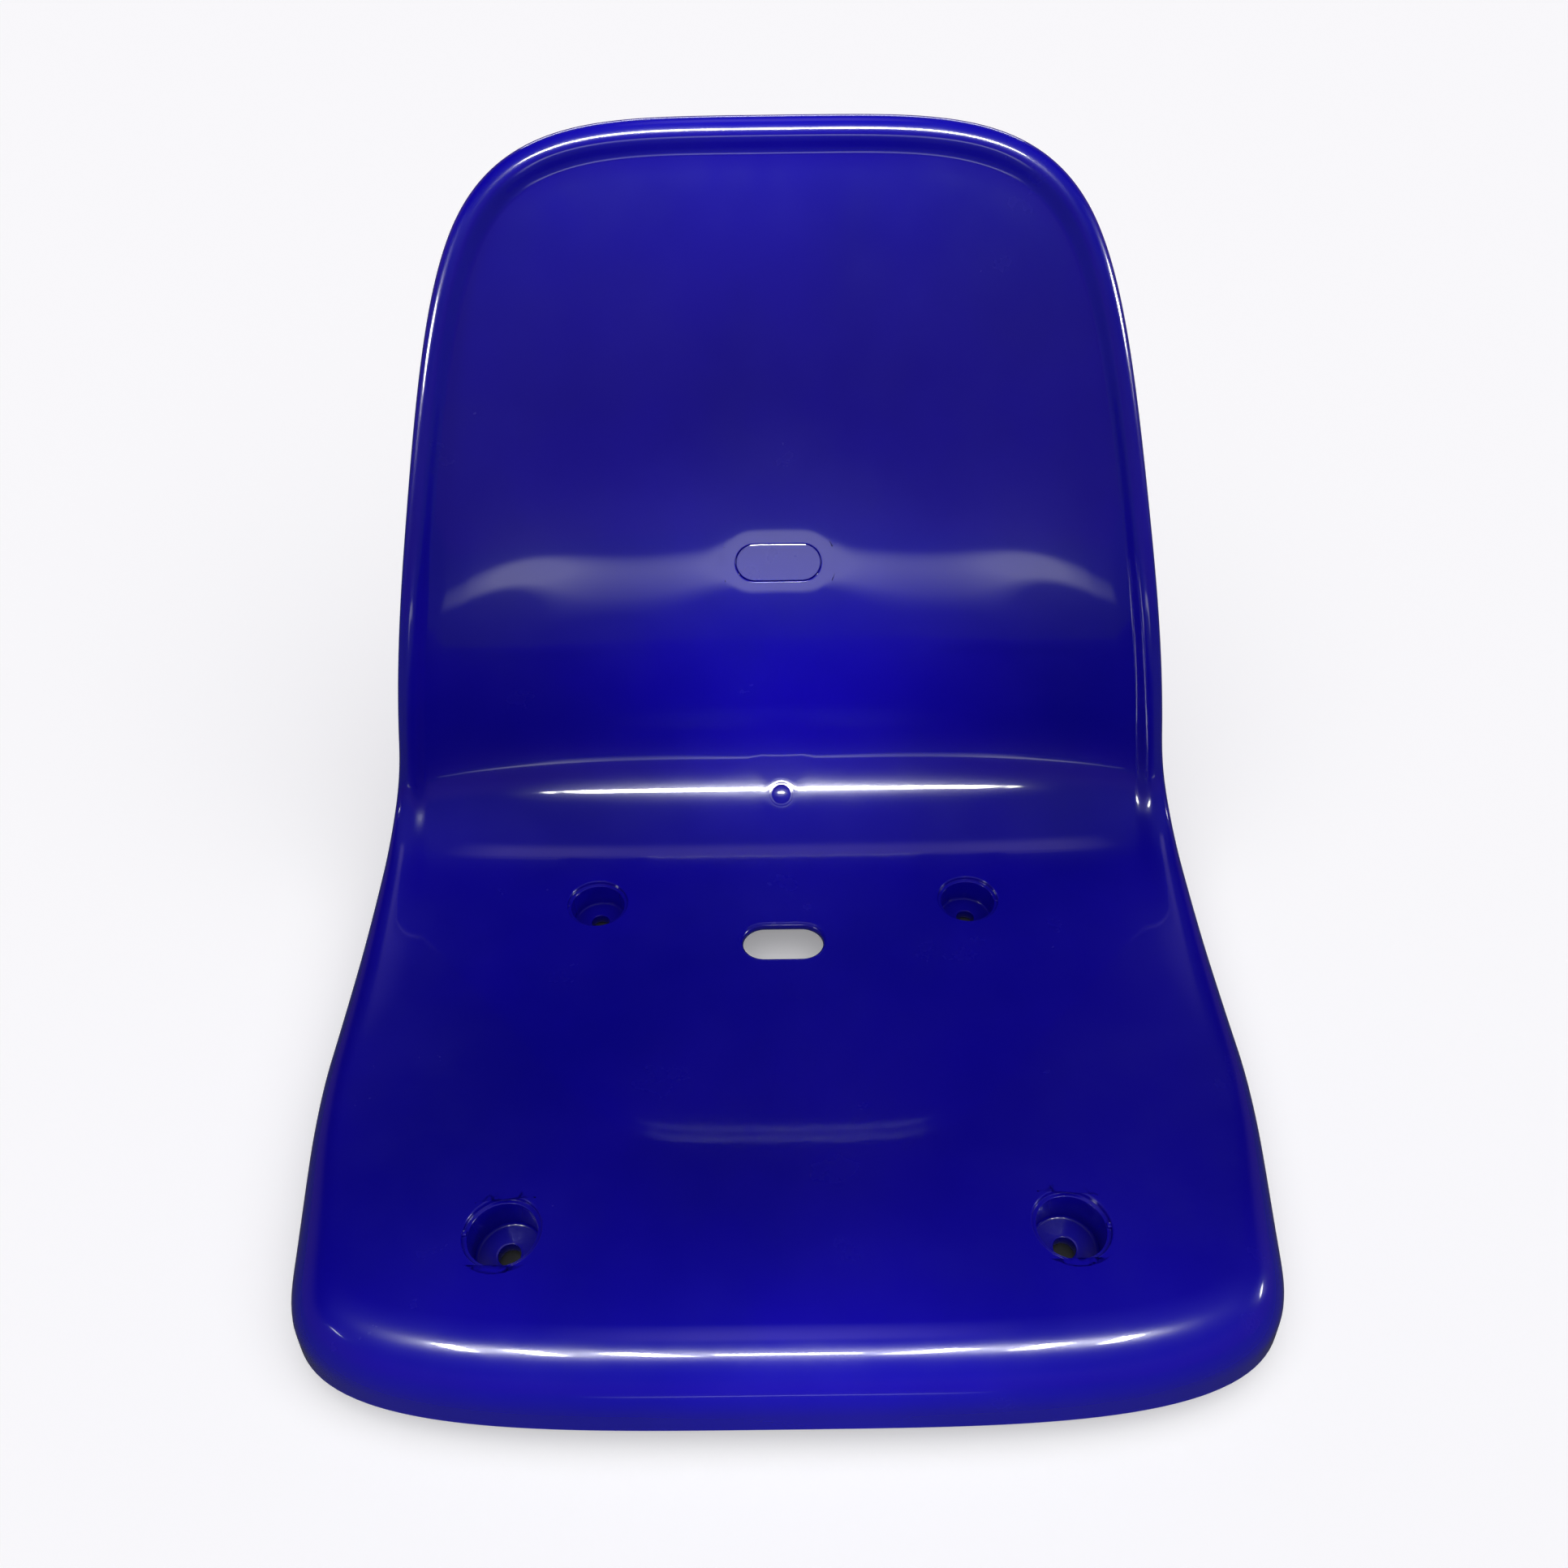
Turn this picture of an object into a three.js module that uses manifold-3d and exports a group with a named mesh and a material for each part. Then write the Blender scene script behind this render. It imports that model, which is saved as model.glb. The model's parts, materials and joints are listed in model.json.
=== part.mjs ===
// Stadium seat: a one-piece moulded shell with a blank number plate, four steel bushes and four foot pads.
// Millimetres, +Z up, the front of the seat towards -Y, the pads stand on Z = 0.

import * as THREE from 'three';
import { mergeVertices } from 'three/addons/utils/BufferGeometryUtils.js';
import Module from 'manifold-3d';

const wasm = await Module();
wasm.setup();
const { degToRad, lerp, clamp, smoothstep } = THREE.MathUtils;

// Centre line, measured along the surface from the front edge over the pan and up the back
const seatRun = 262;
const creaseSpan = 116;
const backRun = 286;

// Bends of the centre line: where each one starts, how far it reaches and how far it turns
const frontFallDegrees = 5.5;
const dishLead = 39;
const dishSpan = 184;
const dishTurnDegrees = 2.5;
const scoopLead = 72;
const scoopSpan = 136;
const scoopTurnDegrees = 6;
const creaseTurnDegrees = 82;
const lumbarSpan = 107;
const lumbarTurnDegrees = 8.5;
const reclineLead = 196;
const reclineSpan = 184;
const reclineTurnDegrees = 6;

// Half widths of the outline, and the rounding of its ends
const frontHalfWidth = 196.5;
const hipHalfWidth = 215.5;
const topHalfWidth = 168;
const flareSpan = 157;
const taperLead = 11;
const taperSpan = 345;
const frontCorner = 63;
const frontPower = 3.5;
const topCorner = 243;
const topPower = 4.2;

// Raised sides of the panel
const hipLift = 26;
const topLift = 3;
const liftLead = 80;
const liftPower = 4;

// Wall and rim: the edge rolls over into a skirt, and a bead stands along the back
const wall = 4;
const panelInset = 29;
const frontRoll = 23;
const sideRoll = 14;
const backRoll = 8;
const frontSkirt = 31;
const sideSkirt = 22;
const backSkirt = 12;
const beadRise = 4.5;
const beadWidth = 19;
const draftShare = 0.05;
const lipFade = 120;
const rimLead = 60;

// Bolt cups in the pan
const frontBoltInset = 64;
const rearBoltInset = 6;
const frontBoltHalfSpacing = 116;
const rearBoltHalfSpacing = 100;
const capRadius = 16;
const capDepth = 2;
const cupRadius = 14.2;
const frontCupDepth = 20;
const rearCupDepth = 15;
const cupFloor = 5;
const bossRadius = 19;
const boltHoleRadius = 4.75;
const nibWidth = 2.4;
const nibReach = 1.6;
const nibHeight = 1.2;

// Bushes and foot pads under the cups
const bushRadius = 6.7;
const shortestBush = 8;
const bushChamfer = 0.6;
const padThickness = 4;
const padLip = 3;
const padWall = 2.2;
const padRound = 1;
const clearance = 0.3;

// Drain slot in the pan
const drainInset = 34;
const drainLength = 42;
const drainWidth = 23;

// Number plate in the back
const plateRise = 86;
const plateLength = 45;
const plateWidth = 20.6;
const plateThickness = 1.6;
const plateSink = 0.6;
const platePad = 3;
const plateCollar = 5;
const pegRadius = 2;
const pegSpacing = 24;
const pegHeadRadius = 3;
const pegHeadHeight = 1.5;
const pegReach = 0.6;

// Ribs under the pan and behind the crease
const ribThickness = 2.6;
const ribDepth = 15;
const ribTip = 5;
const ribFade = 60;
const ribLead = 34;
const ribClimb = 30;
const crossRibOverhang = 46;

// Overrun of every cut, and how finely curves are cut into facets
const overrun = 1;
const clearing = 40;
const roundSegments = 24;
const pegSegments = 12;
const lineSteps = 600;
const gridColumns = 18;
const gridRows = 28;
const filletSteps = 3;
const rollSteps = 3;
const ribSteps = 16;
const trimSteps = 6;
const settlingPasses = 300;
const crowdingShare = 0.6;

const creaseEnd = seatRun + creaseSpan;
const seatLength = creaseEnd + backRun;
const holeRadius = bushRadius + clearance;

const bends = [
  { from: dishLead, span: dishSpan, turn: dishTurnDegrees },
  { from: seatRun - scoopLead, span: scoopSpan, turn: scoopTurnDegrees },
  { from: seatRun, span: creaseSpan, turn: creaseTurnDegrees },
  { from: creaseEnd, span: lumbarSpan, turn: -lumbarTurnDegrees },
  { from: seatLength - reclineLead, span: reclineSpan, turn: -reclineTurnDegrees },
];

// Direction of the centre line at a station, from level towards upright
function headingAt(station) {
  let degrees = -frontFallDegrees;
  for (const bend of bends) {
    degrees += bend.turn * smoothstep(station, bend.from, bend.from + bend.span);
  }
  return degToRad(degrees);
}

function traceCentreLine() {
  const stride = seatLength / lineSteps;
  const point = new THREE.Vector2();
  const points = [];
  for (let step = 0; step <= lineSteps; step += 1) {
    points.push(point.clone());
    const heading = headingAt((step + 0.5) * stride);
    point.x += stride * Math.cos(heading);
    point.y += stride * Math.sin(heading);
  }
  return points;
}

const centreLine = traceCentreLine();

// Point of the centre line in the Y-Z plane, running straight on past both ends
function centreAt(station) {
  const inside = clamp(station, 0, seatLength);
  const place = inside / seatLength * lineSteps;
  const index = Math.min(Math.floor(place), lineSteps - 1);
  const point = centreLine[index].clone().lerp(centreLine[index + 1], place - index);
  const heading = headingAt(inside);
  point.x += (station - inside) * Math.cos(heading);
  point.y += (station - inside) * Math.sin(heading);
  return point;
}

function halfWidthAt(station) {
  const seatHalf = lerp(frontHalfWidth, hipHalfWidth, smoothstep(station, 0, flareSpan));
  const taperStart = seatRun + taperLead;
  return seatHalf - (hipHalfWidth - topHalfWidth) * smoothstep(station, taperStart, taperStart + taperSpan);
}

function liftAt(station) {
  const rise = hipLift * smoothstep(station, liftLead, seatRun + creaseSpan / 2);
  return rise - (hipLift - topLift) * smoothstep(station, creaseEnd, seatLength);
}

// A size that changes from the front edge to the sides of the pan and then to the back
function alongEdge(front, side, back, station) {
  const seat = lerp(front, side, smoothstep(station, 0, lipFade));
  return lerp(seat, back, smoothstep(station, seatRun - rimLead, creaseEnd));
}

// The seat is laid out flat as (across, station, rise) and this bends it into shape
function bend(across, station, rise) {
  const centre = centreAt(station);
  const heading = headingAt(station);
  const edgeShare = Math.min(Math.abs(across) / halfWidthAt(station), 1);
  const height = rise + liftAt(station) * edgeShare ** liftPower;
  return new THREE.Vector3(
    across,
    centre.x - height * Math.sin(heading),
    centre.y + height * Math.cos(heading),
  );
}

function bendGeometry(geometry) {
  const position = geometry.attributes.position;
  for (let index = 0; index < position.count; index += 1) {
    const point = bend(position.getX(index), position.getY(index), position.getZ(index));
    position.setXYZ(index, point.x, point.y, point.z);
  }
  return geometry;
}

// Solids and booleans
function toSolid(geometry) {
  const bare = geometry.clone();
  bare.deleteAttribute('normal');
  bare.deleteAttribute('uv');
  const merged = mergeVertices(bare);
  const mesh = new wasm.Mesh({
    numProp: 3,
    vertProperties: merged.attributes.position.array,
    triVerts: new Uint32Array(merged.index.array),
  });
  return new wasm.Manifold(mesh);
}

function toGeometry(solid) {
  const mesh = solid.getMesh();
  const geometry = new THREE.BufferGeometry();
  geometry.setAttribute('position', new THREE.BufferAttribute(new Float32Array(mesh.vertProperties), 3));
  geometry.setIndex(new THREE.BufferAttribute(new Uint32Array(mesh.triVerts), 1));
  geometry.computeVertexNormals();
  return geometry;
}

// Outline of the flat seat as four sides that meet on the round corners
function endRounding(share, power) {
  return 1 - (1 - Math.abs(share) ** power) ** (1 / power);
}

const frontTurnShare = 2 ** (-1 / frontPower);
const topTurnShare = 2 ** (-1 / topPower);

// Points crowd towards the round corners
function frontSide(part) {
  const share = -Math.cos(Math.PI * part) * frontTurnShare;
  const station = frontCorner * endRounding(share, frontPower);
  return new THREE.Vector2(share * halfWidthAt(station), station);
}

function topSide(part) {
  const share = -Math.cos(Math.PI * part) * topTurnShare;
  const station = seatLength - topCorner * endRounding(share, topPower);
  return new THREE.Vector2(share * halfWidthAt(station), station);
}

function flank(part, side) {
  const first = frontCorner * (1 - frontTurnShare);
  const last = seatLength - topCorner * (1 - topTurnShare);
  const crowded = (1 - Math.cos(Math.PI * part)) / 2;
  const station = lerp(first, last, lerp(part, crowded, crowdingShare));
  const frontShare = clamp(1 - station / frontCorner, 0, 1);
  const topShare = clamp(1 - (seatLength - station) / topCorner, 0, 1);
  const narrowing = 1 - endRounding(frontShare, frontPower) - endRounding(topShare, topPower);
  return new THREE.Vector2(side * halfWidthAt(station) * narrowing, station);
}

// Closed loop round the outline: front, right flank, top, left flank
function outlineLoop() {
  const loop = [];
  for (let column = 0; column < gridColumns; column += 1) {
    loop.push(frontSide(column / gridColumns));
  }
  for (let row = 0; row < gridRows; row += 1) {
    loop.push(flank(row / gridRows, 1));
  }
  for (let column = gridColumns; column > 0; column -= 1) {
    loop.push(topSide(column / gridColumns));
  }
  for (let row = gridRows; row > 0; row -= 1) {
    loop.push(flank(row / gridRows, -1));
  }
  return loop;
}

const outline = outlineLoop();

function inwardAt(index) {
  const count = outline.length;
  const ahead = outline[(index + 1) % count].clone().sub(outline[index]);
  const behind = outline[index].clone().sub(outline[(index + count - 1) % count]);
  ahead.divideScalar(ahead.lengthSq());
  behind.divideScalar(behind.lengthSq());
  const along = ahead.add(behind).normalize();
  return new THREE.Vector2(-along.y, along.x);
}

// Inset and rise of each loop of the rim, from the panel out to the foot of the skirt
function rimSection(station) {
  const roll = alongEdge(frontRoll, sideRoll, backRoll, station);
  const skirt = alongEdge(frontSkirt, sideSkirt, backSkirt, station);
  const bead = alongEdge(0, 0, beadRise, station);
  const filletStart = alongEdge(panelInset, panelInset, beadWidth, station);
  const section = [{ inset: filletStart, rise: 0 }];
  for (let step = 1; step <= filletSteps; step += 1) {
    const part = step / filletSteps;
    section.push({ inset: lerp(filletStart, roll, part), rise: bead * smoothstep(part, 0, 1) });
  }
  for (let step = 1; step <= rollSteps; step += 1) {
    const angle = Math.PI / 2 * step / rollSteps;
    section.push({
      inset: roll * (1 - Math.sin(angle)),
      rise: bead - roll * (1 - Math.cos(angle)),
    });
  }
  section.push({ inset: -draftShare * (skirt + bead - roll), rise: -skirt });
  return section;
}

const rimLoops = 2 + filletSteps + rollSteps;

// Panel points: the edge stays, and each inner point settles at the mean of its neighbours
function panelGrid(edge) {
  const edgePoint = (column, row) => {
    if (row === 0) {
      return edge[column];
    }
    if (row === gridRows) {
      return edge[2 * gridColumns + gridRows - column];
    }
    if (column === gridColumns) {
      return edge[gridColumns + row];
    }
    return edge[(edge.length - row) % edge.length];
  };
  const stride = gridColumns + 1;
  const points = [];
  const inner = [];
  for (let row = 0; row <= gridRows; row += 1) {
    for (let column = 0; column <= gridColumns; column += 1) {
      if (row === 0 || row === gridRows || column === 0 || column === gridColumns) {
        points.push(edgePoint(column, row).clone());
      } else {
        inner.push(points.length);
        points.push(edgePoint(0, row).clone().lerp(edgePoint(gridColumns, row), column / gridColumns));
      }
    }
  }
  for (let pass = 0; pass < settlingPasses; pass += 1) {
    for (const index of inner) {
      const mean = points[index - 1].clone().add(points[index + 1]);
      mean.add(points[index - stride]).add(points[index + stride]);
      points[index].copy(mean.divideScalar(4));
    }
  }
  return points;
}

// The show face of the seat: panel grid and rim loops, as an open indexed sheet
function showFace() {
  const sections = outline.map((point) => rimSection(point.y));
  const place = (index, loop) => {
    const step = sections[index][loop];
    return outline[index].clone().addScaledVector(inwardAt(index), step.inset);
  };
  const innerEdge = outline.map((point, index) => {
    return outline[index].clone().addScaledVector(inwardAt(index), panelInset);
  });
  const flat = panelGrid(innerEdge).map((point) => new THREE.Vector3(point.x, point.y, 0));
  const panelCount = flat.length;
  for (let loop = 0; loop < rimLoops; loop += 1) {
    for (let index = 0; index < outline.length; index += 1) {
      const point = place(index, loop);
      flat.push(new THREE.Vector3(point.x, point.y, sections[index][loop].rise));
    }
  }
  const stride = gridColumns + 1;
  const indices = [];
  const quad = (a, b, c, d) => {
    indices.push(a, b, c, a, c, d);
  };
  for (let row = 0; row < gridRows; row += 1) {
    for (let column = 0; column < gridColumns; column += 1) {
      const start = row * stride + column;
      const above = start + stride;
      if (row < gridRows / 2 === column < gridColumns / 2) {
        quad(start, start + 1, above + 1, above);
      } else {
        quad(start + 1, above + 1, above, start);
      }
    }
  }
  const edgeOfPanel = (index) => {
    const lap = index % outline.length;
    if (lap <= gridColumns) {
      return lap;
    }
    if (lap <= gridColumns + gridRows) {
      return (lap - gridColumns) * stride + gridColumns;
    }
    if (lap <= 2 * gridColumns + gridRows) {
      return gridRows * stride + 2 * gridColumns + gridRows - lap;
    }
    return (outline.length - lap) * stride;
  };
  const onLoop = (index, loop) => {
    if (loop < 0) {
      return edgeOfPanel(index);
    }
    return panelCount + loop * outline.length + index % outline.length;
  };
  for (let loop = -1; loop < rimLoops - 1; loop += 1) {
    for (let index = 0; index < outline.length; index += 1) {
      quad(onLoop(index, loop + 1), onLoop(index + 1, loop + 1), onLoop(index + 1, loop), onLoop(index, loop));
    }
  }
  const rim = outline.map((point, index) => onLoop(index, rimLoops - 1));
  return { points: flat.map((point) => bend(point.x, point.y, point.z)), indices, rim };
}

// Moulded skin of even thickness: the show face, the same face set in by the wall, and the edge between
function moulding() {
  const face = showFace();
  const sheet = new THREE.BufferGeometry().setFromPoints(face.points);
  sheet.setIndex(face.indices);
  sheet.computeVertexNormals();
  const normal = new THREE.Vector3();
  const inner = face.points.map((point, index) => {
    normal.fromBufferAttribute(sheet.attributes.normal, index);
    return point.clone().addScaledVector(normal, -wall);
  });
  const count = face.points.length;
  const indices = [...face.indices];
  for (let index = 0; index < face.indices.length; index += 3) {
    const [a, b, c] = face.indices.slice(index, index + 3);
    indices.push(count + a, count + c, count + b);
  }
  face.rim.forEach((outer, index) => {
    const following = face.rim[(index + 1) % face.rim.length];
    indices.push(outer, count + outer, following);
    indices.push(following, count + outer, count + following);
  });
  const skin = new THREE.BufferGeometry().setFromPoints([...face.points, ...inner]);
  skin.setIndex(indices);
  return skin;
}

// A block drawn on the flat seat, from one rise up to another
function flatBlock(across, station, width, length, bottom, top, steps) {
  const block = new THREE.BoxGeometry(width, length, top - bottom, steps.across, steps.along, 1);
  block.translate(across, station, (top + bottom) / 2);
  return block;
}

// Solids that stand upright on the floor
function ring(profile, segments) {
  const points = profile.map(([radius, height]) => new THREE.Vector2(radius, height));
  const lathe = new THREE.LatheGeometry([...points, points[0]], segments);
  lathe.rotateX(Math.PI / 2);
  return lathe;
}

function upright(radius, bottom, top, x, y) {
  const cylinder = new THREE.CylinderGeometry(radius, radius, top - bottom, roundSegments);
  cylinder.rotateX(Math.PI / 2);
  cylinder.translate(x, y, (top + bottom) / 2);
  return toSolid(cylinder);
}

// Frame on the surface of the seat: X across, Y up the centre line, Z out of the show face
function surfaceFrame(across, station) {
  const frame = new THREE.Object3D();
  frame.position.copy(bend(across, station, 0));
  frame.rotation.x = headingAt(station);
  frame.updateMatrix();
  return frame.matrix;
}

function obround(length, width) {
  const shape = new THREE.Shape();
  const radius = width / 2;
  const reach = length / 2 - radius;
  shape.absarc(reach, 0, radius, -Math.PI / 2, Math.PI / 2, false);
  shape.absarc(-reach, 0, radius, Math.PI / 2, Math.PI * 3 / 2, false);
  return shape;
}

function obroundBlock(length, width, bottom, top) {
  const options = { depth: top - bottom, bevelEnabled: false, curveSegments: roundSegments / 2 };
  const block = new THREE.ExtrudeGeometry(obround(length, width), options);
  block.translate(0, 0, bottom);
  return block;
}

// Bolt cups: where each one is, how deep it is and where its floor lies
function cupAt(name, side, station, halfSpacing, depth) {
  const top = bend(side * halfSpacing, station, 0);
  return { name, side, station, top, floor: top.z - depth, underside: top.z - depth - cupFloor };
}

const frontBoltStation = frontBoltInset;
const rearBoltStation = seatRun - rearBoltInset;
const cups = [
  cupAt('front_left', -1, frontBoltStation, frontBoltHalfSpacing, frontCupDepth),
  cupAt('front_right', 1, frontBoltStation, frontBoltHalfSpacing, frontCupDepth),
  cupAt('rear_left', -1, rearBoltStation, rearBoltHalfSpacing, rearCupDepth),
  cupAt('rear_right', 1, rearBoltStation, rearBoltHalfSpacing, rearCupDepth),
];
const lowestUnderside = Math.min(...cups.map((cup) => cup.underside));
const ground = lowestUnderside - shortestBush;
const bossFoot = ground + padThickness;

// A cup's boss is trimmed half way through the wall, so that nothing stands on the show face
function cupBoss(cup) {
  const boss = upright(bossRadius, bossFoot, cup.top.z + clearing / 2, cup.top.x, cup.top.y);
  const reach = 3 * bossRadius;
  const steps = { across: trimSteps, along: trimSteps };
  const above = flatBlock(cup.top.x, cup.station, reach, reach, -wall / 2, clearing, steps);
  return boss.subtract(toSolid(bendGeometry(above)));
}

// The hollow of a cup: cap seat along the surface, upright bore, bolt hole and bush hole
function cupHollow(cup) {
  const seat = new THREE.CylinderGeometry(capRadius, capRadius, capDepth + clearing, roundSegments);
  seat.rotateX(Math.PI / 2);
  seat.translate(0, 0, (clearing - capDepth) / 2);
  seat.applyMatrix4(surfaceFrame(cup.top.x, cup.station));
  const { x, y, z } = cup.top;
  const bore = upright(cupRadius, cup.floor, z + clearing / 2, x, y);
  const boltHole = upright(boltHoleRadius, cup.underside - overrun, cup.floor + overrun, x, y);
  const bushHole = upright(holeRadius, bossFoot - overrun, cup.underside, x, y);
  return toSolid(seat).add(bore).add(boltHole).add(bushHole);
}

// A small nib on the outer side of the cap seat that a cap would snap under
function cupNib(cup) {
  const nib = new THREE.BoxGeometry(nibReach + overrun, nibWidth, nibHeight);
  const inset = capRadius - nibReach / 2 + overrun / 2;
  nib.translate(cup.side * inset, 0, nibHeight / 2 - capDepth);
  nib.applyMatrix4(surfaceFrame(cup.top.x, cup.station));
  return toSolid(nib);
}

// A rib runs along one flat direction and grows shallow towards both of its ends
function rib(across, station, width, length, steps) {
  const block = flatBlock(across, station, width, length, -ribDepth, -wall / 2, steps);
  const position = block.attributes.position;
  const reach = Math.max(width, length) / 2;
  for (let index = 0; index < position.count; index += 1) {
    const offset = width > length ? position.getX(index) - across : position.getY(index) - station;
    const toEnd = reach - Math.abs(offset);
    if (position.getZ(index) < -wall) {
      position.setZ(index, -lerp(ribTip, ribDepth, smoothstep(toEnd, 0, ribFade)));
    }
  }
  return toSolid(bendGeometry(block));
}

// One rib through each front and rear boss from front to back, and one across each pair of bosses
function ribs() {
  const first = ribLead;
  const last = seatRun + creaseSpan / 2 + ribClimb;
  const lengthwise = { across: 1, along: ribSteps };
  const crosswise = { across: ribSteps, along: 1 };
  const middle = (frontBoltHalfSpacing + rearBoltHalfSpacing) / 2;
  const solids = [];
  for (const side of [-1, 1]) {
    solids.push(rib(side * middle, (first + last) / 2, ribThickness, last - first, lengthwise));
  }
  for (const station of [frontBoltStation, rearBoltStation]) {
    solids.push(rib(0, station, 2 * (middle + crossRibOverhang), ribThickness, crosswise));
  }
  return solids;
}

// Number plate: where it sits and how its pocket is cut
const plateStation = creaseEnd + plateRise;
const plateFrame = surfaceFrame(0, plateStation);
const pocketDepth = plateSink + plateThickness + clearance;
const plateBack = -wall - platePad;

function pegPlaces() {
  return [-pegSpacing / 2, pegSpacing / 2];
}

function plateCollarSolid() {
  const length = plateLength + 2 * plateCollar;
  const width = plateWidth + 2 * plateCollar;
  const collar = obroundBlock(length, width, plateBack, -wall / 2);
  return toSolid(collar.applyMatrix4(plateFrame));
}

function platePocket() {
  const length = plateLength + 2 * clearance;
  const width = plateWidth + 2 * clearance;
  const pocket = toSolid(obroundBlock(length, width, -pocketDepth, clearing / 2).applyMatrix4(plateFrame));
  const holeTop = overrun - pocketDepth;
  const holeBottom = plateBack - overrun;
  const pegHole = pegRadius + clearance;
  return pegPlaces().reduce((solid, x) => {
    const hole = new THREE.CylinderGeometry(pegHole, pegHole, holeTop - holeBottom, pegSegments);
    hole.rotateX(Math.PI / 2);
    hole.translate(x, 0, (holeTop + holeBottom) / 2);
    return solid.add(toSolid(hole.applyMatrix4(plateFrame)));
  }, pocket);
}

function drainSlot() {
  const station = seatRun - drainInset;
  const cutter = obroundBlock(drainLength, drainWidth, -ribDepth, clearing / 2);
  return toSolid(cutter.applyMatrix4(surfaceFrame(0, station)));
}

// The shell
function seatShell() {
  let shell = toSolid(moulding());
  for (const solid of ribs()) {
    shell = shell.add(solid);
  }
  shell = shell.add(plateCollarSolid());
  for (const cup of cups) {
    shell = shell.add(cupBoss(cup));
  }
  for (const cup of cups) {
    shell = shell.subtract(cupHollow(cup)).add(cupNib(cup));
  }
  shell = shell.subtract(platePocket());
  return shell.subtract(drainSlot());
}

// Blank number plate with two snap pegs
function numberPlate() {
  const top = -plateSink;
  const bottom = top - plateThickness;
  const plate = toSolid(obroundBlock(plateLength, plateWidth, bottom, top));
  const neckEnd = plateBack - clearance;
  const tip = neckEnd - pegHeadHeight - pegReach;
  const profile = [
    [0, bottom + plateThickness / 2],
    [pegRadius, bottom + plateThickness / 2],
    [pegRadius, neckEnd],
    [pegHeadRadius, neckEnd],
    [pegHeadRadius, neckEnd - pegReach],
    [pegRadius, tip],
    [0, tip],
  ];
  return pegPlaces().reduce((solid, x) => {
    const points = profile.map(([radius, height]) => new THREE.Vector2(radius, height)).reverse();
    const peg = new THREE.LatheGeometry(points, pegSegments);
    peg.rotateX(Math.PI / 2);
    peg.translate(x, 0, 0);
    return solid.add(toSolid(peg));
  }, plate);
}

// Steel bush that carries the bolt's clamping force through the cup and the pad
function bush(length) {
  const bore = boltHoleRadius;
  return ring([
    [bore, bushChamfer],
    [bore + bushChamfer, 0],
    [bushRadius - bushChamfer, 0],
    [bushRadius, bushChamfer],
    [bushRadius, length - bushChamfer],
    [bushRadius - bushChamfer, length],
    [bore + bushChamfer, length],
    [bore, length - bushChamfer],
  ], roundSegments);
}

// Rubber pad that grips the foot of a boss
function footPad() {
  const grip = bossRadius + clearance;
  const outer = grip + padWall;
  const seat = padThickness - clearance;
  const top = padThickness + padLip;
  return ring([
    [holeRadius, 0],
    [outer - padRound, 0],
    [outer, padRound],
    [outer, top - padRound],
    [outer - padRound, top],
    [grip, top],
    [grip, seat],
    [holeRadius, seat],
  ], roundSegments);
}

// Materials
const shellPlastic = new THREE.MeshStandardMaterial({ color: 0x21128c, roughness: 0.18, metalness: 0 });
const platePlastic = new THREE.MeshStandardMaterial({ color: 0x231391, roughness: 0.24, metalness: 0 });
const zincSteel = new THREE.MeshStandardMaterial({ color: 0xb4b6ba, roughness: 0.38, metalness: 1 });
const padRubber = new THREE.MeshStandardMaterial({ color: 0x17171a, roughness: 0.85, metalness: 0 });

function named(name, geometry, material) {
  const mesh = new THREE.Mesh(geometry, material);
  mesh.name = name;
  return mesh;
}

const seat = new THREE.Group();
const shellMesh = named('seat_shell', toGeometry(seatShell()), shellPlastic);
seat.add(shellMesh);

const plateMesh = named('number_plate', toGeometry(numberPlate()), platePlastic);
plateMesh.applyMatrix4(plateFrame);
seat.add(plateMesh);

for (const cup of cups) {
  const length = cup.underside - ground - 2 * clearance;
  const bushMesh = named(`bush_${cup.name}`, bush(length), zincSteel);
  bushMesh.position.set(cup.top.x, cup.top.y, ground + clearance);
  seat.add(bushMesh);
  const padMesh = named(`foot_pad_${cup.name}`, footPad(), padRubber);
  padMesh.position.set(cup.top.x, cup.top.y, ground);
  seat.add(padMesh);
}

// The origin is on the ground, under the middle of the seat's box
shellMesh.geometry.computeBoundingBox();
const box = shellMesh.geometry.boundingBox;
seat.position.set(0, -(box.min.y + box.max.y) / 2, -ground);

export default seat;
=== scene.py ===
# A bare, glossy, deep blue stadium seat on a pale floor, seen from in front and above
# Metres, +Z up, the front of the seat towards -Y

import json
import math
import bmesh
import bpy
from mathutils import Matrix, Vector

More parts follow.
